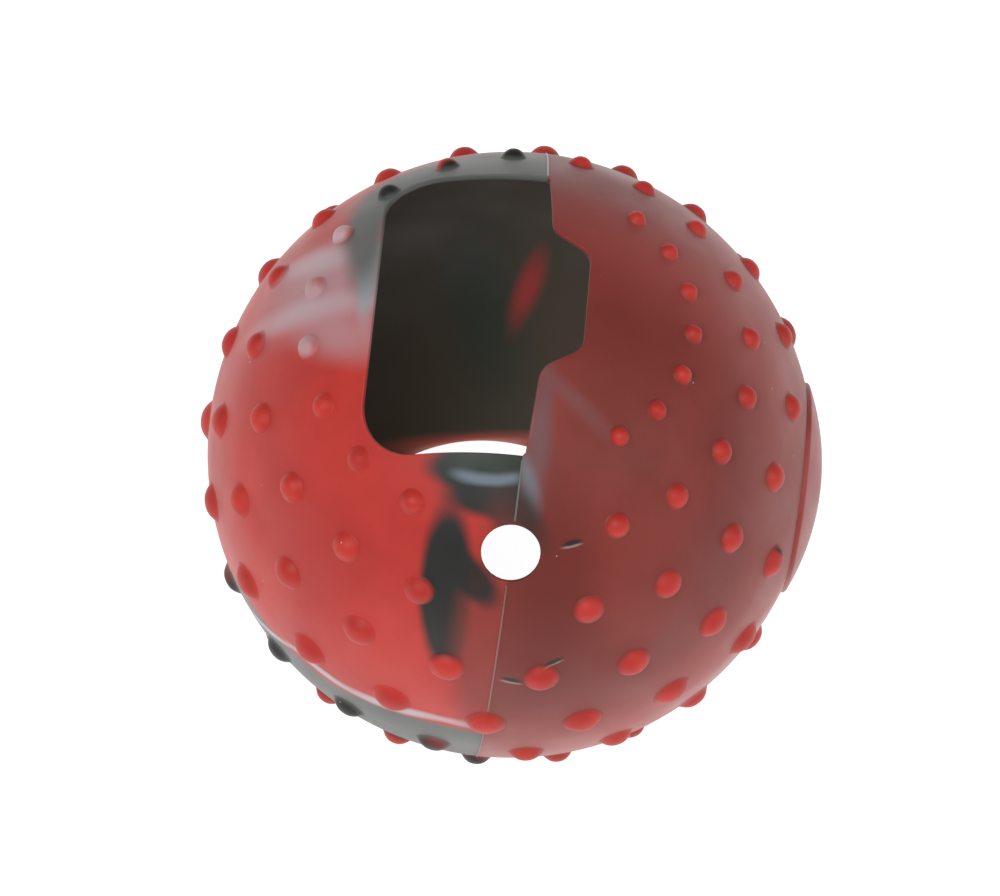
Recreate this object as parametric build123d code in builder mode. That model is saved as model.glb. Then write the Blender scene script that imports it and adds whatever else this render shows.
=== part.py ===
from build123d import *
import math
import os

# Ball-shaped silicone sleeve with grip nubs, a top window, a port hole and a press pad.
#
# Millimetres, +Z up. The finished pieces have their origin at the centre of the flat rim that the
# sleeve stands on. +X points at the press pad and -Y at the port hole. The two halves meet in the
# plane X = 0. Each piece is shaped about the ball's centre, and is lifted onto its rim when saved.

# Skin
ball_radius = 30.0  # outer face of the skin
wall = 0.5
rim_radius = 17.0  # outer edge of the opening that the sleeve stands on
cutter_spare = 1.0  # how far a cutting solid runs past the skin

# Window in the top, seen from above
window_left = 15.3
window_back = 16.3
window_front = 15.3
window_corner = 5.2
lip_step = 0.25  # the right half's lip stands back from the seam by this at the window's corners
lip_root = 0.8  # and by this where the tab notch starts
tab_reach = 4.6
tab_centre = 0.3
tab_root_half = 7.75
tab_tip_half = 5.35
tab_root_fillet = 2.1
tab_tip_fillet = 2.1

# Port hole, through both halves
port_radius = 2.8
port_polar = 48.5  # degrees down from the pole

# Press pad over the side button
pad_radius = 10.5
pad_rise = 0.9  # of the middle of its domed face above the ball
pad_step = 0.4  # of its edge above the ball
pad_edge = 0.25
pad_clearance = 0.1  # round the pad, where the crease shows
web = 0.5  # thin skin that carries the pad, behind the wall
web_width = 1.6
web_gap = 0.15

# Grip nubs, in rows round the ball
nub_rise = 0.86
row_pitch = 15.0  # degrees from one row to the next, down from the pole
first_row = 2  # the first row lies this many pitches from the pole
row_count = 8
nubs_per_row = 20
top_row_reach = 54.0  # degrees each side of +X that the first row covers
nub_radius_at_equator = 1.95
nub_radius_at_first_row = 1.0
nub_margin = 2.0  # least skin between a nub and an opening or the pad

# Flash bead on the parting line
flash_width = 0.16
flash_rise = 0.08
flash_end_gap = 0.4

# Worked-out sizes
inner_radius = ball_radius - wall
centre_height = math.sqrt(ball_radius**2 - rim_radius**2)
rim_polar = 180 - math.degrees(math.asin(rim_radius / ball_radius))
far = 3 * ball_radius  # longer than anything in the sleeve
nub_pitch = 360 / nubs_per_row

os.makedirs("parts", exist_ok=True)

def outward(polar, azimuth):
    """Unit vector from the ball's centre: polar down from +Z, azimuth round from +X, in degrees."""
    sweep = math.sin(math.radians(polar))
    return Vector(
        sweep * math.cos(math.radians(azimuth)),
        sweep * math.sin(math.radians(azimuth)),
        math.cos(math.radians(polar)),
    )

def arc_between(first, second):
    """Length along the skin between two directions."""
    return ball_radius * math.radians(first.get_angle(second))

def save(piece, name):
    """Stand a piece that was shaped about the ball's centre on the rim, and write it."""
    piece.part.label = name
    piece.part.position = (0, 0, centre_height)
    export_step(piece.part, f"parts/{name}.step")

# The window: its outline is straight when seen from above, and its cut faces stand square to the skin
with BuildPart() as window_plug:
    with BuildSketch(Plane.XY):
        with BuildLine():
            FilletPolyline(
                (0, window_back),
                (-window_left, window_back),
                (-window_left, -window_front),
                (0, -window_front),
                radius=window_corner,
            )
            Polyline((0, -window_front), (lip_step, -window_front + lip_step))
            FilletPolyline(
                (lip_step, -window_front + lip_step),
                (lip_root, tab_centre - tab_root_half),
                (tab_reach, tab_centre - tab_tip_half),
                (tab_reach, tab_centre + tab_tip_half),
                (lip_root, tab_centre + tab_root_half),
                (lip_step, window_back - lip_step),
                radius=[tab_root_fillet, tab_tip_fillet, tab_tip_fillet, tab_root_fillet],
            )
            Polyline((lip_step, window_back - lip_step), (0, window_back))
        make_face()
    extrude(amount=far)
    Sphere(ball_radius, mode=Mode.INTERSECT)
window_skin = window_plug.faces().filter_by(GeomType.SPHERE).sort_by(Axis.Z)[-1]

with BuildPart() as window_cutter:
    thicken(window_skin, amount=wall + cutter_spare, both=True)

# The whole skin, before it is parted into its two halves
pad_axis = Plane(origin=(0, 0, 0), x_dir=(0, 1, 0), z_dir=(1, 0, 0))
port_axis = Plane(origin=(0, 0, 0), x_dir=(1, 0, 0), z_dir=outward(port_polar, -90))
with BuildPart() as skin:
    Sphere(ball_radius)
    Sphere(inner_radius, mode=Mode.SUBTRACT)
    split(bisect_by=Plane.XY.offset(-centre_height), keep=Keep.TOP)
    add(window_cutter.part, mode=Mode.SUBTRACT)
    with BuildSketch(port_axis):
        Circle(port_radius)
    extrude(amount=ball_radius + cutter_spare, mode=Mode.SUBTRACT)
    with BuildSketch(pad_axis):
        Circle(pad_radius + pad_clearance)
    extrude(amount=ball_radius + cutter_spare, mode=Mode.SUBTRACT)

with BuildPart() as left_shell:
    add(skin.part)
    split(bisect_by=Plane.YZ, keep=Keep.BOTTOM)
save(left_shell, "left_shell")

with BuildPart() as right_shell:
    add(skin.part)
    split(bisect_by=Plane.YZ, keep=Keep.TOP)
save(right_shell, "right_shell")

# The press pad: a thick domed button with a thin web round its back, behind the wall
web_face = inner_radius - web_gap
crown_height = ball_radius + pad_rise - math.sqrt((ball_radius + pad_step) ** 2 - pad_radius**2)
crown_radius = (pad_radius**2 + crown_height**2) / (2 * crown_height)
above_axis = (Align.MIN, Align.MIN)
with BuildSketch(Plane.XY) as button_profile:
    with Locations((ball_radius + pad_rise - crown_radius, 0)):
        Circle(crown_radius)
    Rectangle(far, pad_radius, align=above_axis, mode=Mode.INTERSECT)
    outer_corner = button_profile.vertices().group_by(Axis.Y)[-1].sort_by(Axis.X)[-1]
    fillet(outer_corner, radius=pad_edge)
with BuildSketch(Plane.XY) as web_profile:
    Circle(web_face)
    Rectangle(far, pad_radius + web_width, align=above_axis, mode=Mode.INTERSECT)
with BuildPart() as press_pad:
    with BuildSketch(Plane.XY):
        add(button_profile.sketch)
        add(web_profile.sketch)
        Circle(web_face - web, mode=Mode.SUBTRACT)
    revolve(axis=Axis.X)
save(press_pad, "press_pad")

# Grip nubs
def nub_radius(polar):
    """Nubs shrink evenly with each row away from the equator."""
    share = abs(90 - polar) / (90 - first_row * row_pitch)
    return nub_radius_at_equator + share * (nub_radius_at_first_row - nub_radius_at_equator)

def nub_places(row):
    """Directions of one row's nubs, without those that an opening or the pad leaves no room for."""
    polar = (first_row + row - 1) * row_pitch
    reach = nub_radius(polar) + nub_margin
    stagger = 0.5 * ((row - 1) % 2)
    places = []
    for step in range(nubs_per_row):
        azimuth = (step + stagger) * nub_pitch
        from_pad = min(azimuth, 360 - azimuth)
        direction = outward(polar, azimuth)
        clear_of_pad = arc_between(direction, Vector(1, 0, 0)) > pad_radius + reach
        clear_of_port = arc_between(direction, outward(port_polar, -90)) > port_radius + reach
        beside_window = row > 1 or from_pad < top_row_reach + 1
        if clear_of_pad and clear_of_port and beside_window:
            places.append(direction)
    return places

def nub_group(row, places):
    """All of a row's nubs in the given directions: low domes that sit on the skin."""
    radius = nub_radius((first_row + row - 1) * row_pitch)
    foot = (radius, math.sqrt(ball_radius**2 - radius**2))
    with BuildPart() as nub:
        with BuildSketch(Plane.XZ):
            with BuildLine():
                Line((0, ball_radius), (0, ball_radius + nub_rise))
                TangentArc((0, ball_radius + nub_rise), foot, tangent=(1, 0))
                TangentArc((0, ball_radius), foot, tangent=(1, 0))
            make_face()
        revolve(axis=Axis.Z)
    with BuildPart() as group:
        with Locations(*[Plane(origin=(0, 0, 0), z_dir=direction) for direction in places]):
            add(nub.part)
    return group

seam_groups = []
seam_breaks = []  # side, polar angle and half width in degrees of each nub on the seam
for row in range(1, row_count + 1):
    places = nub_places(row)
    row_polar = (first_row + row - 1) * row_pitch
    half_width = nub_radius(row_polar) / ball_radius
    on_left = [place for place in places if place.X < -half_width]
    on_right = [place for place in places if place.X > half_width]
    on_seam = [place for place in places if abs(place.X) <= half_width]
    if on_left:
        save(nub_group(row, on_left), f"left_nubs_row_{row}")
    if on_right:
        save(nub_group(row, on_right), f"right_nubs_row_{row}")
    if on_seam:
        seam_groups.append(nub_group(row, on_seam))
        half_break = math.degrees(half_width + flash_end_gap / ball_radius)
        seam_breaks += [(math.copysign(1, place.Y), row_polar, half_break) for place in on_seam]

with BuildPart() as seam_nubs:
    for group in seam_groups:
        add(group.part)
save(seam_nubs, "seam_nubs")

# Flash bead on the parting line, which stops short of the openings and of the nubs on the seam
def flash_arc(side, start_polar, end_polar):
    """Bead from one polar angle to another, on the +Y side or on the -Y side of the ball."""
    start = outward(start_polar, 90 * side)
    across = Plane(origin=(0, 0, 0), x_dir=(1, 0, 0), z_dir=Vector(1, 0, 0).cross(start))
    with BuildPart() as bead:
        with BuildSketch(across):
            with Locations((0, ball_radius)):
                Rectangle(flash_width, flash_rise, align=(Align.CENTER, Align.MIN))
        revolve(axis=Axis((0, 0, 0), (-side, 0, 0)), revolution_arc=end_polar - start_polar)
    return bead

def flash_run(side, start_polar, end_polar):
    """All the beads of one stretch of the parting line."""
    beads = []
    for nub_side, polar, half_break in seam_breaks:
        if nub_side == side and start_polar < polar < end_polar:
            beads.append(flash_arc(side, start_polar, polar - half_break))
            start_polar = polar + half_break
    beads.append(flash_arc(side, start_polar, end_polar))
    return beads

end_gap = math.degrees(flash_end_gap / ball_radius)
port_half = math.degrees(math.asin(port_radius / ball_radius))
front_edge = math.degrees(math.asin(window_front / ball_radius))
back_edge = math.degrees(math.asin(window_back / ball_radius))
flash_beads = flash_run(-1, front_edge + end_gap, port_polar - port_half - end_gap)
flash_beads += flash_run(-1, port_polar + port_half + end_gap, rim_polar - end_gap)
flash_beads += flash_run(1, back_edge + end_gap, rim_polar - end_gap)
with BuildPart() as parting_flash:
    for bead in flash_beads:
        add(bead.part)
save(parting_flash, "parting_flash")
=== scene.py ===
"""A marbled silicone sleeve in the shape of a ball, with grip nubs, standing on its open bottom."""
import math

import bpy
import numpy as np
from mathutils import Matrix, Vector


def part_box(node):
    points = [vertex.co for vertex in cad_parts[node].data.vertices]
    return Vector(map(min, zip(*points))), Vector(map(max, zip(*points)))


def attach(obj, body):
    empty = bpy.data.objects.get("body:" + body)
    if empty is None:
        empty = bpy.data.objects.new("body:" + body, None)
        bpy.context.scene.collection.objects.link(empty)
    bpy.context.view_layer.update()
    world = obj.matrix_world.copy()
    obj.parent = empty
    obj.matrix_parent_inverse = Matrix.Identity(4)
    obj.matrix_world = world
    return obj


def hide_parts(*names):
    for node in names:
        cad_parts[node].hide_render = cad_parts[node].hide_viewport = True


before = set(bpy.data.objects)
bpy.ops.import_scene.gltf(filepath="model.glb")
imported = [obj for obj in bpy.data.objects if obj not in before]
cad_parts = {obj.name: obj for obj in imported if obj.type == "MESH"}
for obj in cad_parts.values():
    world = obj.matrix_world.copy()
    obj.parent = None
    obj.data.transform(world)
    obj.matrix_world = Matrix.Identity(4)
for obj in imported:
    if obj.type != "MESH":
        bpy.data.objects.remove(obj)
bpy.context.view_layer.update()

# ---------------------------------------------------------------------------------------------
# The left half shell. A moulded skin of silicone gum, one wall thick, in the shape of half a ball.
# The skin is cut away at the top for the window, and its foot is cut flat where it stands.
# The gum was laid in the mould in several colours, which flowed together as it was pressed.
MM = 0.001
shell_low, shell_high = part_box("left_shell")
equator_low, equator_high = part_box("left_nubs_row_5")
ball_radius = (shell_high.y - shell_low.y) / 2
centre = Vector((0, 0, (equator_low.z + equator_high.z) / 2))
wall = 0.5 * MM
rounding = 0.08 * MM  # of every cut edge
rounding_lines = (0, 0.15, 0.45, 1)  # lines cut in the skin along an edge, as shares of its rounding
rim_polar = math.acos(-centre.z / ball_radius)
inner_rim_polar = math.acos(-centre.z / (ball_radius - wall))

# The window and its tab notch, in millimetres from the ball's axis as seen from above
window_left, window_back, window_front = 15.3, 16.3, 15.3
window_corner = 5.2
lip_step, lip_root = 0.25, 0.8
tab_reach, tab_centre, tab_root_half, tab_tip_half = 4.6, 0.3, 7.75, 5.35
tab_root_fillet, tab_tip_fillet = 2.1, 2.1
corner_steps = 16

# The small round hole in front of the window
port_radius = 2.8 * MM
port_polar = math.radians(48.5)


def outward(polar, azimuth):
    """Unit vector from the ball's centre, in radians: polar down from the top, azimuth from +X."""
    return Vector(
        (math.sin(polar) * math.cos(azimuth), math.sin(polar) * math.sin(azimuth), math.cos(polar))
    )


def rounded_outline(corners):
    """Closed outline through (x, y, radius) corners, each turned by an arc of its radius."""
    outline = []
    for i, (x, y, radius) in enumerate(corners):
        here = Vector((x, y))
        before = (Vector(corners[i - 1][:2]) - here).normalized()
        after = (Vector(corners[(i + 1) % len(corners)][:2]) - here).normalized()
        if radius == 0:
            outline.append(here)
            continue
        half = before.angle(after) / 2
        arc_centre = here + (before + after).normalized() * radius / math.sin(half)
        start = here + before * radius / math.tan(half) - arc_centre
        end = here + after * radius / math.tan(half) - arc_centre
        turn = math.atan2(start.x * end.y - start.y * end.x, start.dot(end))
        for step in range(corner_steps + 1):
            angle = turn * step / corner_steps
            c, s = math.cos(angle), math.sin(angle)
            outline.append(arc_centre + Vector((c * start.x - s * start.y, s * start.x + c * start.y)))
    return np.array(outline) * MM


window_outline = rounded_outline(
    [
        (0, window_back, 0),
        (-window_left, window_back, window_corner),
        (-window_left, -window_front, window_corner),
        (0, -window_front, 0),
        (lip_step, lip_step - window_front, 0),
        (lip_root, tab_centre - tab_root_half, tab_root_fillet),
        (tab_reach, tab_centre - tab_tip_half, tab_tip_fillet),
        (tab_reach, tab_centre + tab_tip_half, tab_tip_fillet),
        (lip_root, tab_centre + tab_root_half, tab_root_fillet),
        (lip_step, window_back - lip_step, 0),
    ]
)


def skin_from_window(direction):
    """Width of skin between each direction and the window's edge, less than 0 inside the window."""
    least_slope = 0.05  # keeps the width finite where the skin stands upright
    far_height = 0.2  # lower than this share of the radius, the skin is far from the window
    seen_from_above = direction[:, :2] * ball_radius
    start = window_outline
    run = np.roll(start, -1, axis=0) - start
    offset = seen_from_above[:, None, :] - start[None]
    along = np.clip((offset * run).sum(2) / (run * run).sum(1), 0, 1)
    gap = offset - along[..., None] * run
    length = np.sqrt((gap * gap).sum(2))
    nearest = length.argmin(1)
    rows = np.arange(len(direction))
    distance = length[rows, nearest]
    across = gap[rows, nearest] / np.maximum(distance, 1e-9)[:, None]
    x, y = seen_from_above[:, :1], seen_from_above[:, 1:]
    y0, y1 = start[:, 1], np.roll(start[:, 1], -1)
    crossing = start[:, 0] + (y - y0) * run[:, 0] / np.where(run[:, 1] == 0, 1e-12, run[:, 1])
    inside = (((y0 > y) != (y1 > y)) & (x < crossing)).sum(1) % 2 == 1
    inside &= direction[:, 2] > 0
    slope = np.sqrt(np.maximum(1 - (across * direction[:, :2]).sum(1) ** 2, least_slope))
    below = direction[:, 2] < far_height
    return np.where(inside, -distance, np.where(below, ball_radius, distance)) / slope


def skin_from_port(direction):
    axis = np.array(outward(port_polar, -math.pi / 2))
    return ball_radius * np.arccos(np.clip(direction @ axis, -1, 1)) - port_radius


def skin_from_rim(direction):
    return ball_radius * (rim_polar - np.arccos(np.clip(direction[:, 2], -1, 1)))


def skin_left(direction):
    edges = [skin_from_window(direction), skin_from_port(direction), skin_from_rim(direction)]
    return np.min(edges, axis=0)


def half_ball(side, first_angle, rings, spokes):
    """Directions and triangles of half a ball, in rings round the X axis from first_angle to the seam."""
    angles = np.linspace(first_angle, math.pi / 2, rings + 1)
    turns = np.arange(spokes) * 2 * math.pi / spokes
    a, t = np.meshgrid(angles, turns, indexing="ij")
    across = np.where(a > math.pi / 2 - 1e-6, 0.0, np.cos(a))
    points = np.stack([side * across, np.sin(a) * np.cos(t), np.sin(a) * np.sin(t)], 2).reshape(-1, 3)
    i, j = np.meshgrid(np.arange(rings), np.arange(spokes), indexing="ij")
    here, right = i * spokes + j, i * spokes + (j + 1) % spokes
    first = np.stack([here, here + spokes, right + spokes], 2).reshape(-1, 3)
    second = np.stack([here, right + spokes, right], 2).reshape(-1, 3)
    triangles = np.concatenate([first, second])
    if first_angle == 0:
        points[:spokes] = (side, 0, 0)
        triangles[triangles < spokes] = 0
        whole = (triangles[:, 0] != triangles[:, 1]) & (triangles[:, 1] != triangles[:, 2])
        triangles = triangles[whole & (triangles[:, 0] != triangles[:, 2])]
    return points, triangles if side > 0 else triangles[:, ::-1]


def slit(points, triangles, field, level):
    """Cut every triangle that the line field = level crosses, so that the line runs along edges."""
    value = field(points) - level
    value = np.where(np.abs(value) < 1e-8, 1e-8, value)
    above = value[triangles] > 0
    mixed = above.any(1) & ~above.all(1)
    whole, cut, cut_above = triangles[~mixed], triangles[mixed], above[mixed]
    if not len(cut):
        return points, triangles
    alone_is_above = cut_above.sum(1) == 1
    alone = np.where(alone_is_above, cut_above.argmax(1), (~cut_above).argmax(1))
    rows = np.arange(len(cut))
    a, b, c = cut[rows, alone], cut[rows, (alone + 1) % 3], cut[rows, (alone + 2) % 3]
    pairs = np.sort(np.concatenate([np.stack([a, b], 1), np.stack([a, c], 1)]), axis=1)
    pairs, where = np.unique(pairs, axis=0, return_inverse=True)
    low, high = points[pairs[:, 0]], points[pairs[:, 1]]
    low_value, high_value = value[pairs[:, 0]], value[pairs[:, 1]]
    on_seam = (low[:, 0] == 0) & (high[:, 0] == 0)
    for _ in range(3):
        share = (low_value / (low_value - high_value))[:, None]
        middle = low + (high - low) * share
        middle /= np.linalg.norm(middle, axis=1)[:, None]
        middle_value = field(middle) - level
        same = (middle_value > 0) == (low_value > 0)
        low = np.where(same[:, None], middle, low)
        low_value = np.where(same, middle_value, low_value)
        high = np.where(same[:, None], high, middle)
        high_value = np.where(same, high_value, middle_value)
    middle[on_seam, 0] = 0
    where = where.reshape(-1) + len(points)
    ab, ac = where[: len(cut)], where[len(cut) :]
    pieces = [whole, np.stack([a, ab, ac], 1), np.stack([ab, b, c], 1), np.stack([ab, c, ac], 1)]
    return np.concatenate([points, middle]), np.concatenate(pieces)


def shell_mesh(name, side, field, first_angle, rings, spokes):
    """A closed half shell: outer skin, inner skin and the walls between, with every cut edge rounded."""
    foot_start, foot_length = 0.9, 0.1  # shares of the way down to the rim, where the skin meets its cut
    sharp_angle = math.radians(50)
    points, triangles = half_ball(side, first_angle, rings, spokes)
    for share in rounding_lines:
        points, triangles = slit(points, triangles, field, share * rounding)
        if share == 0:
            middle = points[triangles].mean(1)
            triangles = triangles[field(middle / np.linalg.norm(middle, axis=1)[:, None]) > 0]
    used, triangles = np.unique(triangles, return_inverse=True)
    points, triangles = points[used], triangles.reshape(-1, 3)
    short = np.clip(1 - field(points) / rounding, 0, 1)
    drop = rounding * (1 - np.sqrt(1 - short**2))
    polar = np.arccos(np.clip(points[:, 2], -1, 1))
    azimuth = np.arctan2(points[:, 1], points[:, 0])
    foot = np.clip((polar / rim_polar - foot_start) / foot_length, 0, 1)
    inner_polar = polar + (inner_rim_polar - rim_polar) * foot * foot
    inner = np.stack(
        [
            np.sin(inner_polar) * np.cos(azimuth),
            np.sin(inner_polar) * np.sin(azimuth),
            np.cos(inner_polar),
        ],
        1,
    )
    inner[points[:, 0] == 0, 0] = 0
    outer_place = points * (ball_radius - drop)[:, None] + np.array(centre)
    inner_place = inner * (ball_radius - wall + drop)[:, None] + np.array(centre)
    inner_place[:, 2] = np.maximum(inner_place[:, 2], 0)
    outer_place[:, 2] = np.maximum(outer_place[:, 2], 0)
    edges = np.concatenate([triangles[:, [0, 1]], triangles[:, [1, 2]], triangles[:, [2, 0]]])
    names = edges[:, 0] * len(points) + edges[:, 1]
    back = edges[:, 1] * len(points) + edges[:, 0]
    open_edges = edges[~np.isin(names, back)]
    inside = len(points)
    walls = np.stack(
        [open_edges[:, 1], open_edges[:, 0], open_edges[:, 0] + inside, open_edges[:, 1] + inside], 1
    )
    mesh = bpy.data.meshes.new(name)
    places = np.concatenate([outer_place, inner_place])
    faces = triangles.tolist() + (triangles[:, ::-1] + inside).tolist() + walls.tolist()
    mesh.from_pydata(places.tolist(), [], faces)
    mesh.validate()
    mesh.shade_smooth()
    mesh.set_sharp_from_angle(angle=sharp_angle)
    piece = bpy.data.objects.new(name, mesh)
    bpy.context.scene.collection.objects.link(piece)
    return piece


red_gum = (0.56, 0.030, 0.019)
deep_red_gum = (0.46, 0.020, 0.013)
black_gum = (0.010, 0.011, 0.009)
grey_gum = (0.105, 0.115, 0.105)
white_gum = (0.56, 0.46, 0.50)
blue_white_gum_and_edge_highlight = (0.36, 0.46, 0.50)
slate_gum = (0.15, 0.20, 0.24)
green_black_gum = (0.006, 0.018, 0.008)
# dark brown of the cavity's lining: partly the gum, partly painted shade of the hollow
cavity_gum_and_shade = (0.105, 0.080, 0.055)
brown_red_gum = (0.235, 0.028, 0.018)
lilac_gum = (0.46, 0.34, 0.37)
rose_gum = (0.50, 0.28, 0.30)


def gum_colours(name):
    """A node group that gives the colour of marbled gum at each place, and its place on the ball."""
    group = bpy.data.node_groups.new(name, "ShaderNodeTree")
    group.interface.new_socket("Color", in_out="OUTPUT", socket_type="NodeSocketColor")
    nodes, links = group.nodes, group.links
    where = nodes.new("ShaderNodeTexCoord")
    on_ball = nodes.new("ShaderNodeMapping")
    on_ball.vector_type = "TEXTURE"
    on_ball.inputs["Location"].default_value = centre
    on_ball.inputs["Scale"].default_value = (ball_radius,) * 3
    links.new(where.outputs["Object"], on_ball.inputs["Vector"])
    return group, on_ball.outputs["Vector"]


def flowed(group, place, scale, amount):
    """The place, carried off a little by slow eddies as the gum was pressed."""
    eddies = group.nodes.new("ShaderNodeTexNoise")
    eddies.inputs["Scale"].default_value = scale
    eddies.inputs["Detail"].default_value = 3
    group.links.new(place, eddies.inputs["Vector"])
    drift = group.nodes.new("ShaderNodeVectorMath")
    drift.operation = "MULTIPLY_ADD"
    drift.inputs[1].default_value = (amount,) * 3
    drift.inputs[2].default_value = (-amount / 2,) * 3
    group.links.new(eddies.outputs["Color"], drift.inputs[0])
    carried = group.nodes.new("ShaderNodeVectorMath")
    carried.operation = "ADD"
    group.links.new(place, carried.inputs[0])
    group.links.new(drift.outputs["Vector"], carried.inputs[1])
    return carried.outputs["Vector"]


def ramp(group, value, low, high, from_low, from_high):
    """A number that turns smoothly from from_low to from_high as the value goes from low to high."""
    turn = group.nodes.new("ShaderNodeMapRange")
    turn.interpolation_type = "SMOOTHSTEP"
    turn.inputs["From Min"].default_value = low
    turn.inputs["From Max"].default_value = high
    turn.inputs["To Min"].default_value = from_low
    turn.inputs["To Max"].default_value = from_high
    group.links.new(value, turn.inputs["Value"])
    return turn.outputs["Result"]


def blended(group, under, over, share):
    """One colour over another. Each is a colour or a socket."""
    mix = group.nodes.new("ShaderNodeMix")
    mix.data_type = "RGBA"
    for socket, colour in ((mix.inputs[6], under), (mix.inputs[7], over)):
        if isinstance(colour, tuple):
            socket.default_value = (*colour, 1)
        else:
            group.links.new(colour, socket)
    group.links.new(share, mix.inputs[0])
    return mix.outputs[2]


def streaked(group, place, colour, streaks):
    """Lay streaks over a colour, each between two (polar, azimuth) places in degrees.

    A streak is its colour, of gum or of painted light, its two ends, its half width in mm, how soft its
    edge is, and how dense it is.
    """
    for gum, start, end, half_width, softness, density in streaks:
        first = outward(math.radians(start[0]), math.radians(start[1]))
        last = outward(math.radians(end[0]), math.radians(end[1]))
        middle = (first + last).normalized()
        along = (last - first).normalized()
        across = middle.cross(along).normalized()
        half = half_width * MM / ball_radius
        patch = group.nodes.new("ShaderNodeMapping")
        patch.vector_type = "TEXTURE"
        patch.inputs["Location"].default_value = middle
        frame_of_patch = Matrix((along, across, along.cross(across))).transposed()
        patch.inputs["Rotation"].default_value = frame_of_patch.to_euler()
        patch.inputs["Scale"].default_value = ((last - first).length / 2 + half, half, 0.6)
        group.links.new(place, patch.inputs["Vector"])
        reach = group.nodes.new("ShaderNodeVectorMath")
        reach.operation = "LENGTH"
        group.links.new(patch.outputs["Vector"], reach.inputs[0])
        share = ramp(group, reach.outputs["Value"], 1 - softness, 1 + softness, density, 0)
        colour = blended(group, colour, gum, share)
    return colour


def mottled(group, place, first, second, scale):
    """Two gums worked into each other."""
    grain = group.nodes.new("ShaderNodeTexNoise")
    grain.inputs["Scale"].default_value = scale
    grain.inputs["Detail"].default_value = 5
    group.links.new(place, grain.inputs["Vector"])
    return blended(group, first, second, ramp(group, grain.outputs["Fac"], 0.35, 0.65, 0, 1))


def lined(group, place, outside, inside):
    """The outside colour on the skin and its cut edges, and the inside colour in the cavity."""
    lining_end, skin_start = 0.001, 0.006  # heights above the inner face, as shares of the radius
    depth = group.nodes.new("ShaderNodeVectorMath")
    depth.operation = "LENGTH"
    group.links.new(place, depth.inputs[0])
    inner = 1 - wall / ball_radius
    share = ramp(group, depth.outputs["Value"], inner + lining_end, inner + skin_start, 1, 0)
    return blended(group, outside, inside, share)


def give_colour(group, colour):
    output = group.nodes.new("NodeGroupOutput")
    group.links.new(colour, output.inputs["Color"])
    return group


def silicone(name, roughness, sheen):
    """Soft moulded gum: a matt waxy face with a fine grain, which lets a little light in."""
    material = bpy.data.materials.new(name)
    material.use_nodes = True
    tree = material.node_tree
    shader = tree.nodes["Principled BSDF"]
    shader.inputs["Subsurface Weight"].default_value = 0.12
    shader.inputs["Subsurface Radius"].default_value = (1.0, 0.25, 0.2)
    shader.inputs["Subsurface Scale"].default_value = 0.9 * MM
    shader.inputs["Specular IOR Level"].default_value = 0.42
    shader.inputs["Sheen Weight"].default_value = sheen
    shader.inputs["Sheen Roughness"].default_value = 0.45
    shader.inputs["Sheen Tint"].default_value = (1.0, 0.93, 0.93, 1)
    where = tree.nodes.new("ShaderNodeTexCoord")
    grain = tree.nodes.new("ShaderNodeTexNoise")
    grain.inputs["Scale"].default_value = 4200
    grain.inputs["Detail"].default_value = 2
    tree.links.new(where.outputs["Object"], grain.inputs["Vector"])
    smears = tree.nodes.new("ShaderNodeTexNoise")
    smears.inputs["Scale"].default_value = 160
    smears.inputs["Detail"].default_value = 4
    tree.links.new(where.outputs["Object"], smears.inputs["Vector"])
    rough = ramp(tree, smears.outputs["Fac"], 0.3, 0.7, roughness - 0.06, roughness + 0.08)
    tree.links.new(rough, shader.inputs["Roughness"])
    bump = tree.nodes.new("ShaderNodeBump")
    bump.inputs["Strength"].default_value = 0.25
    bump.inputs["Distance"].default_value = 0.02 * MM
    tree.links.new(grain.outputs["Fac"], bump.inputs["Height"])
    tree.links.new(bump.outputs["Normal"], shader.inputs["Normal"])
    return material, shader, where.outputs["Object"]


def dusted(tree, where, colour, scale, size):
    """Specks of pale dust that the tacky gum has picked up."""
    dust = (0.75, 0.66, 0.62)
    specks = tree.nodes.new("ShaderNodeTexVoronoi")
    specks.inputs["Scale"].default_value = scale
    specks.inputs["Randomness"].default_value = 1
    tree.links.new(where, specks.inputs["Vector"])
    share = ramp(tree, specks.outputs["Distance"], size * 0.5, size, 0.55, 0)
    return blended(tree, colour, dust, share)


def coloured(material, shader, where, group):
    """Give a silicone its marbled colours, with dust on them."""
    tree = material.node_tree
    colours = tree.nodes.new("ShaderNodeGroup")
    colours.node_tree = group
    dusty = dusted(tree, where, colours.outputs["Color"], scale=250, size=0.028)
    tree.links.new(dusty, shader.inputs["Base Color"])
    return material
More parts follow.
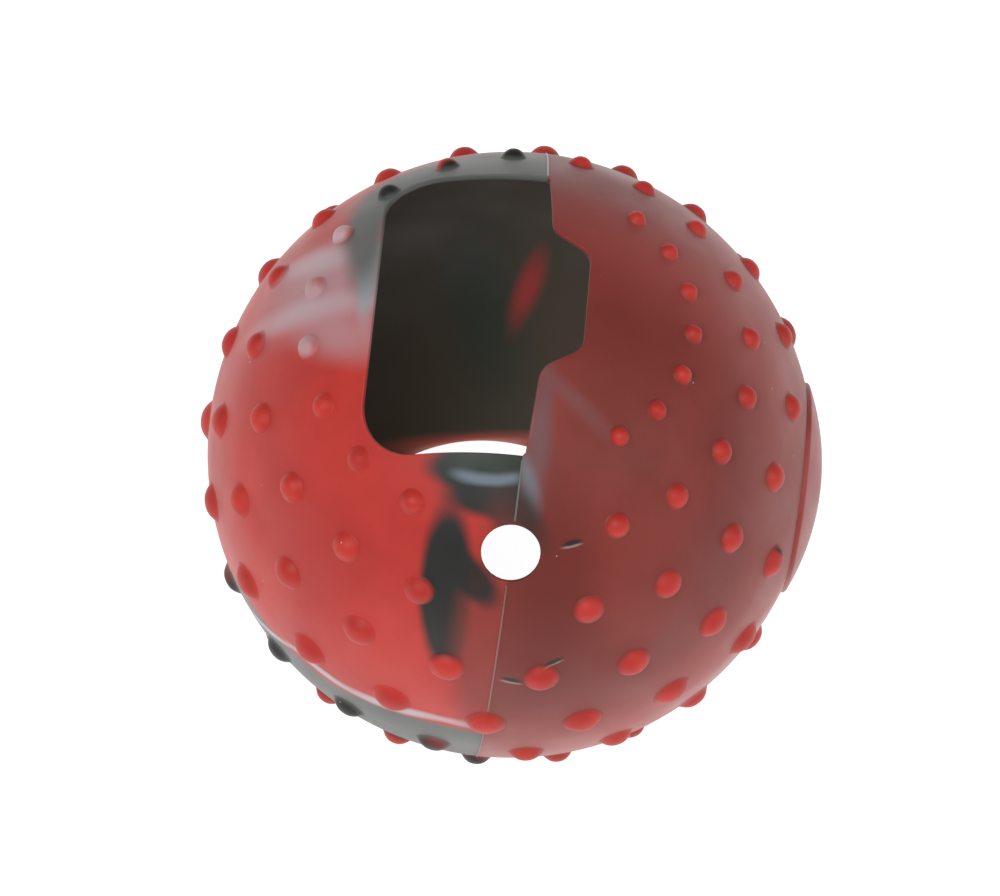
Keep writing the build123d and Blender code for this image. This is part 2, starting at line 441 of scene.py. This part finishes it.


# The cavity is dark, partly its own gum and partly painted shade of the hollow, with a green smear, a red
# streak behind the seam, and a painted red and white glow at the foot, where light from the table comes
# through the rim.
cavity_green_gum = (0.050, 0.066, 0.050)
cavity_red_gum = (0.62, 0.060, 0.060)
# painted glow: light from the lit table coming through the thin rim, painted on the cavity's foot in red
# and white
painted_rim_glow_red = (1.00, 0.20, 0.16)
painted_rim_glow_white = (1.00, 0.90, 0.82)
cavity_streaks_and_rim_glow = [
    (cavity_green_gum, (106, 100), (128, 96), 4.0, 0.8, 0.9),
    (cavity_red_gum, (106.5, 87.5), (118, 89.5), 1.1, 0.8, 0.95),
    # painted glow of light through the rim, at the foot of the cavity
    (painted_rim_glow_red, (145.8, 122), (145.5, 76), 1.0, 0.8, 0.95),
    (painted_rim_glow_white, (147.6, 116), (147.6, 90), 0.6, 0.8, 0.9),
]
left_streaks = [
    (lilac_gum, (34.0, 168.0), (50.0, 170.0), 4.6, 0.8, 0.70),
    (white_gum, (37.8, 160.4), (55.3, 162.5), 1.6, 0.8, 0.60),
    (white_gum, (31.3, -179.4), (56.9, 176.7), 1.4, 0.8, 0.60),
    (rose_gum, (32.9, -164.5), (42.2, -174.3), 2.2, 0.8, 0.75),
    # along the window's left cut edge: partly pale lilac-blue gum, partly a painted highlight of the lit
    # edge
    (blue_white_gum_and_edge_highlight, (34.9, 159.2), (32.2, -176.8), 0.9, 0.8, 0.85),
    (grey_gum, (34.0, 168.0), (45.4, 141.0), 2.1, 0.55, 0.95),
    (grey_gum, (41.5, 147.0), (45.0, 122.0), 3.2, 0.35, 1.0),
    (grey_gum, (44.0, 128.0), (41.5, 80.0), 6.2, 0.18, 1.0),
    (black_gum, (47.0, -106.0), (71.0, -99.8), 2.5, 0.22, 1.0),
    (black_gum, (35.9, -110.0), (34.3, -84.0), 2.5, 0.2, 1.0),
    (black_gum, (39.6, -104.5), (38.2, -86.0), 1.9, 0.3, 1.0),
    (black_gum, (38.5, -95.6), (43.9, -90.1), 1.6, 0.5, 0.9),
    (slate_gum, (36.2, -106.8), (34.6, -93.0), 0.95, 0.35, 0.95),
    (green_black_gum, (34.0, -109.0), (32.0, -92.0), 1.3, 0.3, 1.0),
    (brown_red_gum, (50.0, -93.0), (86.0, -91.5), 3.0, 0.5, 0.85),
    (black_gum, (51.5, -103.0), (56.5, -95.0), 1.7, 0.35, 0.95),
    (grey_gum, (105.5, -118.0), (103.5, -86.0), 5.6, 0.12, 1.0),
    (grey_gum, (107.5, -150.0), (106.5, -122.0), 5.4, 0.14, 1.0),
    (black_gum, (112.0, -160.0), (112.0, -86.0), 4.2, 0.7, 0.8),
    (black_gum, (132.0, -170.0), (128.0, -86.0), 9.0, 0.4, 1.0),
    (white_gum, (105.4, -147.5), (95.0, -130.0), 0.42, 0.6, 0.9),
    (white_gum, (94.8, -129.0), (95.1, -117.8), 0.55, 0.6, 0.95),
    (white_gum, (95.0, -117.0), (91.6, -98.0), 0.70, 0.6, 0.95),
    (white_gum, (91.6, -99.0), (92.5, -90.0), 0.50, 0.7, 0.6),
]


def left_colours():
    group, place = gum_colours("left_colours")
    eddied = flowed(group, place, scale=3.4, amount=0.030)
    base = mottled(group, place, red_gum, deep_red_gum, scale=2.2)
    outside = streaked(group, eddied, base, left_streaks)
    # the cavity: dark gum with painted shade, and a painted glow at its foot
    inside = streaked(group, eddied, cavity_gum_and_shade, cavity_streaks_and_rim_glow)
    return give_colour(group, lined(group, place, outside, inside))


left_gum_colours = left_colours()
left_gum = coloured(*silicone("left_skin_gum", roughness=0.52, sheen=0.20), left_gum_colours)

rings, spokes = 90, 360
left_half = shell_mesh("left_half", -1, skin_left, 0, rings, spokes)
left_half.data.materials.append(left_gum)
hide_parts("left_shell")
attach(left_half, "sleeve")

# ---------------------------------------------------------------------------------------------
# The right half shell. The same skin on the other side of the parting line, with the tab notch in
# its top edge and a round seat for the press pad. It meets the left half face to face.
pad_radius = 10.5 * MM
pad_clearance = 0.1 * MM
seat_angle = math.asin((pad_radius + pad_clearance) / ball_radius)


def skin_right(direction):
    from_seat = ball_radius * (np.arccos(np.clip(direction[:, 0], -1, 1)) - seat_angle)
    return np.minimum(skin_left(direction), from_seat)


pale_red_gum = (0.40, 0.075, 0.062)
pink_white_gum = (0.55, 0.33, 0.32)
warm_red_gum = (0.44, 0.058, 0.045)
dull_red_gum = (0.33, 0.048, 0.038)
dark_red_gum = (0.150, 0.014, 0.008)
dark_brown_red_gum = (0.190, 0.022, 0.014)
mauve_gum = (0.15, 0.085, 0.095)
pale_mauve_gum = (0.21, 0.085, 0.090)
torn_gum = (0.50, 0.38, 0.34)
right_streaks = [
    (warm_red_gum, (112, -75), (96, -28), 10.0, 0.75, 0.85),
    (pale_red_gum, (58, 12), (66, 60), 9.0, 0.8, 0.80),
    (dull_red_gum, (22, 50), (44, 20), 6.0, 0.8, 0.8),
    (dark_red_gum, (47, -80), (68, -80), 3.8, 0.8, 0.9),
    (mauve_gum, (17.0, -80), (36.6, -85.8), 0.9, 0.9, 0.7),
    (pale_mauve_gum, (16.6, -77), (26.7, -59.5), 0.8, 0.9, 0.5),
    (slate_gum, (31.0, -91), (38.0, -86.0), 0.8, 0.8, 0.7),
    (black_gum, (37.0, -92), (44.0, -85.0), 1.3, 0.7, 0.8),
    (pink_white_gum, (96.0, -18), (101.0, -44), 3.0, 0.8, 0.7),
]
# Chips of black gum, each torn up at one side to a pale edge
chip_half_width, torn_half_width = 0.26, 0.13
for start, end in (
    ((75.2, -87.6), (76.0, -85.0)),
    ((71.6, -80.0), (70.3, -77.8)),
    ((46.8, -76.8), (46.4, -73.6)),
):
    pale_start, pale_end = (start[0] + 0.6, start[1] - 0.4), (end[0] + 0.6, end[1] + 0.2)
    right_streaks.append((torn_gum, pale_start, pale_end, torn_half_width, 0.6, 0.6))
    right_streaks.append((black_gum, start, end, chip_half_width, 0.5, 0.95))


def right_colours():
    group, place = gum_colours("right_colours")
    eddied = flowed(group, place, scale=3.4, amount=0.030)
    base = mottled(group, place, brown_red_gum, dark_brown_red_gum, scale=2.6)
    outside = streaked(group, eddied, base, right_streaks)
    # the cavity: dark gum with painted shade, and a painted glow at its foot
    inside = streaked(group, eddied, cavity_gum_and_shade, cavity_streaks_and_rim_glow)
    return give_colour(group, lined(group, place, outside, inside))


right_gum_colours = right_colours()
right_gum = coloured(*silicone("right_skin_gum", roughness=0.52, sheen=0.20), right_gum_colours)
right_half = shell_mesh("right_half", 1, skin_right, seat_angle, rings, spokes)
right_half.data.materials.append(right_gum)
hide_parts("right_shell")
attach(right_half, "sleeve")

# ---------------------------------------------------------------------------------------------
# The press pad. A thick domed button of gum over the device's side button, with a crease round it
# and a thin web behind the wall that lets it be pushed in.
pad_rise = 0.9 * MM  # of the middle of its domed face above the ball
pad_step = 0.4 * MM  # of its edge above the ball
pad_edge = 0.25 * MM
web, web_width, web_gap = 0.5 * MM, 1.6 * MM, 0.15 * MM
web_root = 0.2 * MM  # height above the web of a last ring on the pad's side, which keeps the corner crisp
web_taper = 0.05 * MM  # how far the web's inner corner is set below its inner face
pad_segments = 192


def turned(name, profile, segments):
    """A closed piece turned round the X axis from (x, radius) points, first and last on the axis."""
    places, faces = [], []
    for x, radius in profile[1:-1]:
        for k in range(segments):
            angle = 2 * math.pi * k / segments
            places.append((x, radius * math.cos(angle), radius * math.sin(angle)))
    first, last = len(places), len(places) + 1
    places += [(profile[0][0], 0, 0), (profile[-1][0], 0, 0)]
    rows = len(profile) - 2
    for k in range(segments):
        after = (k + 1) % segments
        faces.append((first, k, after))
        for row in range(rows - 1):
            a, b = row * segments + k, row * segments + after
            faces.append((a, a + segments, b + segments, b))
        end = (rows - 1) * segments
        faces.append((last, end + after, end + k))
    mesh = bpy.data.meshes.new(name)
    mesh.from_pydata([Vector(p) + centre for p in places], [], faces)
    mesh.shade_smooth()
    piece = bpy.data.objects.new(name, mesh)
    bpy.context.scene.collection.objects.link(piece)
    return piece


def arc(radius, start, end, steps, about=(0.0, 0.0)):
    """Points (x, radius) on an arc round a point, by angle from the X axis in radians."""
    angles = [start + (end - start) * i / steps for i in range(steps + 1)]
    return [(about[0] + radius * math.cos(a), about[1] + radius * math.sin(a)) for a in angles]


pad_top = ball_radius + pad_rise
crown_height = pad_top - math.sqrt((ball_radius + pad_step) ** 2 - pad_radius**2)
crown_radius = (pad_radius**2 + crown_height**2) / (2 * crown_height)
crown_centre = (pad_top - crown_radius, 0.0)
edge_polar = math.asin((pad_radius - pad_edge) / (crown_radius - pad_edge))
edge_centre = (
    crown_centre[0] + (crown_radius - pad_edge) * math.cos(edge_polar),
    pad_radius - pad_edge,
)
web_outer = ball_radius - wall - web_gap
web_inner = web_outer - web
web_angle = math.asin((pad_radius + web_width) / web_outer)
pad_profile = arc(crown_radius, 0, edge_polar, 24, crown_centre)
pad_profile += arc(pad_edge, edge_polar, math.pi / 2, 6, edge_centre)[1:]
pad_profile += [(math.sqrt(web_outer**2 - pad_radius**2) + web_root, pad_radius)]
pad_profile += arc(web_outer, math.asin(pad_radius / web_outer), web_angle, 6)
pad_profile += [(web_inner * math.cos(web_angle) - web_taper, pad_radius + web_width)]
pad_profile += arc(web_inner, math.asin(pad_radius / web_inner), 0, 12)
press_pad = turned("press_button", pad_profile, pad_segments)


pad_red_gum = (0.34, 0.050, 0.042)
pad_grey_gum = (0.40, 0.34, 0.32)


def pad_colours():
    group, place = gum_colours("pad_colours")
    eddied = flowed(group, place, scale=3.0, amount=0.06)
    base = mottled(group, place, pale_red_gum, pad_red_gum, scale=3.0)
    pad_streaks = [
        (pink_white_gum, (90, 10), (92, -16), 2.4, 0.8, 0.45),
        (pad_grey_gum, (100, -17), (98, -2), 2.2, 0.7, 0.75),
        (black_gum, (106, -16), (110, 0), 1.2, 0.5, 0.95),
    ]
    return give_colour(group, streaked(group, eddied, base, pad_streaks))


pad_gum = coloured(*silicone("pad_gum", roughness=0.50, sheen=0.24), pad_colours())
press_pad.data.materials.append(pad_gum)
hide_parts("press_pad")
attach(press_pad, "press_pad")

# ---------------------------------------------------------------------------------------------
# The grip nubs. Low domes in rows round the ball, each with a soft foot that runs out into the
# skin. They were pressed in pockets of the mould, mostly from red gum, so that they stay red where
# the skin beside them is black.
nub_rise = 0.86 * MM
row_pitch = math.radians(15)
first_row, row_count, nubs_per_row = 2, 8, 20
nub_pitch = 2 * math.pi / nubs_per_row
nub_radius_at_equator, nub_radius_at_first_row = 1.95 * MM, 1.0 * MM
nub_margin = 2.0 * MM
top_row_reach = math.radians(54)
foot_spread = 1.15  # how far the soft foot runs out, as a share of the nub's radius
foot_softness = 0.10 * MM
foot_sink = 0.02 * MM  # how far the foot's edge is sunk in the skin
root_depth = 0.2 * MM
dome_power = 2.4
nub_rings, nub_spokes = 14, 40


def nub_radius(row):
    share = abs(math.pi / 2 - (first_row + row - 1) * row_pitch)
    share /= math.pi / 2 - first_row * row_pitch
    return nub_radius_at_equator + share * (nub_radius_at_first_row - nub_radius_at_equator)


def nub_places(row):
    """Directions of one row's nubs, without those that an opening or the pad leaves no room for."""
    polar = (first_row + row - 1) * row_pitch
    reach = nub_radius(row) + nub_margin
    places = []
    for step in range(nubs_per_row):
        azimuth = (step + 0.5 * ((row - 1) % 2)) * nub_pitch
        direction = outward(polar, azimuth)
        from_pad = direction.angle(Vector((1, 0, 0))) * ball_radius
        from_port = direction.angle(outward(port_polar, -math.pi / 2)) * ball_radius
        beside_window = row > 1 or min(azimuth, 2 * math.pi - azimuth) < top_row_reach + 0.01
        if from_pad > pad_radius + reach and from_port > port_radius + reach and beside_window:
            places.append(direction)
    return places


def nub_piece(name, nubs):
    """One mesh of all the nubs in a group, from (direction, radius) pairs."""
    places, faces, crowns = [], [], []
    for direction, radius in nubs:
        turn = direction.to_track_quat("Z", "Y")
        first = len(places)
        spread = radius * foot_spread
        rows = [0.0] + [((i + 1) / nub_rings) ** 0.8 for i in range(nub_rings)]
        for share in rows:
            dome = nub_rise * (1 - (share * foot_spread) ** dome_power)
            rise = (dome + math.sqrt(dome * dome + foot_softness**2)) / 2
            sunk = foot_sink * share**4
            distance = share * spread
            for k in range(nub_spokes if share else 1):
                around = 2 * math.pi * k / nub_spokes
                flat = Vector((math.cos(around) * distance, math.sin(around) * distance, 0))
                flat.z = math.sqrt(ball_radius**2 - distance**2)
                places.append(centre + turn @ (flat.normalized() * (ball_radius + rise - sunk)))
                crowns.append(share)
        base = len(places)
        places.append(centre + direction * (ball_radius - root_depth))
        crowns.append(1.0)
        for k in range(nub_spokes):
            after = (k + 1) % nub_spokes
            faces.append((first, first + 1 + k, first + 1 + after))
            for row in range(nub_rings - 1):
                a = first + 1 + row * nub_spokes
                faces.append((a + k, a + nub_spokes + k, a + nub_spokes + after, a + after))
            a = first + 1 + (nub_rings - 1) * nub_spokes
            faces.append((base, a + after, a + k))
    mesh = bpy.data.meshes.new(name)
    mesh.from_pydata(places, [], faces)
    mesh.shade_smooth()
    mesh.attributes.new("from_crown", "FLOAT", "POINT").data.foreach_set("value", crowns)
    piece = bpy.data.objects.new(name, mesh)
    bpy.context.scene.collection.objects.link(piece)
    return piece


nub_red_gum = (0.46, 0.020, 0.014)
nub_lilac_gum = (0.48, 0.36, 0.37)
nub_rose_gum = (0.50, 0.32, 0.33)
nub_streaks = [
    (black_gum, (40, 126), (42, 92), 2.6, 0.15, 1.0),
    (black_gum, (43.7, 138), (43.7, 132), 1.5, 0.15, 1.0),
    (nub_lilac_gum, (45.6, 174), (45.3, -174), 2.2, 0.4, 0.8),
    (nub_rose_gum, (45.0, -171), (44.6, -169), 0.6, 0.5, 0.7),
    (white_gum, (45.0, 156), (45.0, 152), 1.0, 0.4, 0.8),
    (black_gum, (105.0, -153.0), (105.0, -99.0), 3.0, 0.2, 1.0),
    (black_gum, (120.0, -93.0), (120.0, -87.0), 2.4, 0.2, 1.0),
    (black_gum, (71.6, -25.6), (74.0, -25.0), 0.35, 0.5, 0.9),
]


def nub_colours():
    """Red gum on the crowns, running out at the foot into whatever the skin's gum is there."""
    seam_half = 0.002  # half the width over which the two skins meet, as a share of the radius
    crown_end, foot_end = 0.62, 0.98  # shares of the way out from a nub's middle
    group, place = gum_colours("nub_colours")
    skins = []
    for skin in (left_gum_colours, right_gum_colours):
        colours = group.nodes.new("ShaderNodeGroup")
        colours.node_tree = skin
        skins.append(colours.outputs["Color"])
    split = group.nodes.new("ShaderNodeSeparateXYZ")
    group.links.new(place, split.inputs[0])
    skin = blended(group, skins[0], skins[1], ramp(group, split.outputs["X"], -seam_half, seam_half, 0, 1))
    crown = streaked(group, place, mottled(group, place, nub_red_gum, red_gum, scale=9.0), nub_streaks)
    from_crown = group.nodes.new("ShaderNodeAttribute")
    from_crown.attribute_name = "from_crown"
    share = ramp(group, from_crown.outputs["Fac"], crown_end, foot_end, 1, 0)
    return give_colour(group, blended(group, skin, crown, share))


nub_gum = coloured(*silicone("nub_gum", roughness=0.56, sheen=0.10), nub_colours())
seam_row = []
for row in range(1, row_count + 1):
    radius = nub_radius(row)
    groups = {"left": [], "right": []}
    for direction in nub_places(row):
        if abs(direction.x) * ball_radius <= radius:
            seam_row.append((direction, radius))
        else:
            groups["left" if direction.x < 0 else "right"].append((direction, radius))
    for side, nubs in groups.items():
        if nubs:
            nub_row = nub_piece(f"{side}_nub_row_{row}", nubs)
            nub_row.data.materials.append(nub_gum)
            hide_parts(f"{side}_nubs_row_{row}")
            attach(nub_row, "sleeve")
seam_nub_row = nub_piece("seam_nub_row", seam_row)
seam_nub_row.data.materials.append(nub_gum)
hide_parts("seam_nubs")
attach(seam_nub_row, "sleeve")

# ---------------------------------------------------------------------------------------------
# The parting flash. A hair-thin bead of the same gum, squeezed out where the mould's two halves met
# and never trimmed. It follows the seam round the ball and stops short of the nubs that straddle it.
flash_brown_gum = (0.20, 0.075, 0.070)
flash_dark_gum = (0.13, 0.050, 0.045)
flash_rose_gum = (0.30, 0.13, 0.12)
flash_slate_gum = (0.13, 0.16, 0.15)
flash_pale_gum = (0.42, 0.42, 0.40)
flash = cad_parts["parting_flash"]
flash.data.materials.clear()


def flash_colours():
    group, place = gum_colours("flash_colours")
    base = mottled(group, place, flash_brown_gum, flash_dark_gum, scale=14.0)
    flash_streaks = [
        (flash_rose_gum, (58, -90), (100, -90), 1.4, 0.4, 0.9),
        (flash_slate_gum, (30, -90), (47, -90), 1.4, 0.4, 0.9),
        (flash_pale_gum, (34, 90), (60, 90), 1.4, 0.4, 0.9),
    ]
    return give_colour(group, streaked(group, place, base, flash_streaks))


flash_gum = coloured(*silicone("flash_gum", roughness=0.45, sheen=0.20), flash_colours())
flash.data.materials.append(flash_gum)

# ---------------------------------------------------------------------------------------------
# The table, the light and the camera. The sleeve stands on a pale table that is lit from within,
# under two soft boxes, with dim white all round.
table_half = 3.0
table_corners = [(x * table_half, y * table_half, 0) for x, y in ((-1, -1), (1, -1), (1, 1), (-1, 1))]
floor_mesh = bpy.data.meshes.new("table")
floor_mesh.from_pydata(table_corners, [], [(0, 1, 2, 3)])
floor = bpy.data.objects.new("table", floor_mesh)
bpy.context.scene.collection.objects.link(floor)
table_top = bpy.data.materials.new("lit_table")
table_top.use_nodes = True
table_shader = table_top.node_tree.nodes["Principled BSDF"]
table_shader.inputs["Base Color"].default_value = (0.30, 0.30, 0.30, 1)
table_shader.inputs["Roughness"].default_value = 0.8
table_shader.inputs["Emission Color"].default_value = (1, 1, 1, 1)
table_shader.inputs["Emission Strength"].default_value = 0.95
floor.data.materials.append(table_top)

scene = bpy.context.scene
scene.view_settings.view_transform = "Standard"
world = bpy.data.worlds.new("studio")
world.use_nodes = True
world.node_tree.nodes["Background"].inputs["Color"].default_value = (1, 1, 1, 1)
world.node_tree.nodes["Background"].inputs["Strength"].default_value = 0.22
scene.world = world


def soft_box(name, place, size, power):
    light = bpy.data.lights.new(name, "AREA")
    light.size = size
    light.energy = power
    lamp = bpy.data.objects.new(name, light)
    lamp.location = place
    lamp.rotation_euler = (Vector(place) - centre).to_track_quat("Z", "Y").to_euler()
    scene.collection.objects.link(lamp)


soft_box("key_light", place=(-0.25, -0.35, 0.75), size=0.5, power=4.2)
soft_box("fill_light", place=(0.5, -0.2, 0.5), size=0.5, power=1.2)

elevation, turn, roll = math.radians(59.21), math.radians(-4.2), math.radians(10.2)
distance = 15 * ball_radius
towards = Vector(
    (
        math.cos(elevation) * math.sin(turn),
        -math.cos(elevation) * math.cos(turn),
        math.sin(elevation),
    )
)
camera_data = bpy.data.cameras.new("camera")
camera_data.lens = 163.3
camera_data.sensor_width = 36
camera_data.shift_x = -0.0106
camera_data.shift_y = 0.0067
camera_data.clip_end = 20
camera = bpy.data.objects.new("camera", camera_data)
upright = towards.to_track_quat("Z", "Y")
camera.matrix_world = (
    Matrix.Translation(centre + towards * distance)
    @ upright.to_matrix().to_4x4()
    @ Matrix.Rotation(roll, 4, "Z")
)
scene.collection.objects.link(camera)
scene.camera = camera
